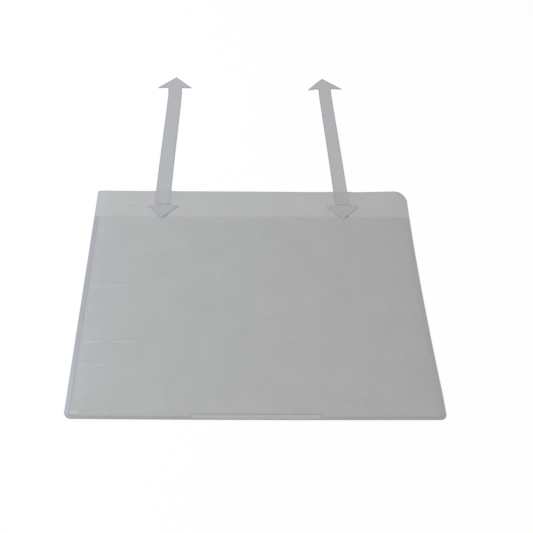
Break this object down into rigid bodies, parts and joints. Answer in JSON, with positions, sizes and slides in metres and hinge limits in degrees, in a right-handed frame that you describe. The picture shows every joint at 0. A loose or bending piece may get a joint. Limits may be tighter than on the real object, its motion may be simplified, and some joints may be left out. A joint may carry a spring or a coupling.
{
  "type": "hanging document sleeve",
  "caption": "Flat clear vinyl pocket for an A4 sheet held crosswise, with a slotted header strip above its mouth and arrow-headed hanging straps pushed through the slots.",
  "frame": {"origin": "centre of the sleeve's back (header included), on the surface that the sleeve lies on", "axes": "+X to the right across the sleeve, +Y up the sleeve from its bottom weld to the header and straps, +Z out of the sleeve's front"},
  "size_m": [0.31, 0.426, 0.0018],
  "materials": {
    "back_film": "calendered soft vinyl film, clear with a grey tint, lightly glossy",
    "weld_film": "vinyl fused under a heated bar: smoother, glossier and slightly bluer than the film round it",
    "front_film": "calendered soft vinyl film, clear with a grey tint, lightly glossy, pressed flat along its welded rim",
    "strap_film": "die-cut soft vinyl, clear with a grey tint that is deeper and bluer at its cut edges"
  },
  "bodies": {
    "root": {"back_sheet": "back_film", "weld_seam": "weld_film", "front_sheet": "front_film", "left_strap": "strap_film", "right_strap": "strap_film"}
  },
  "joints": []
}
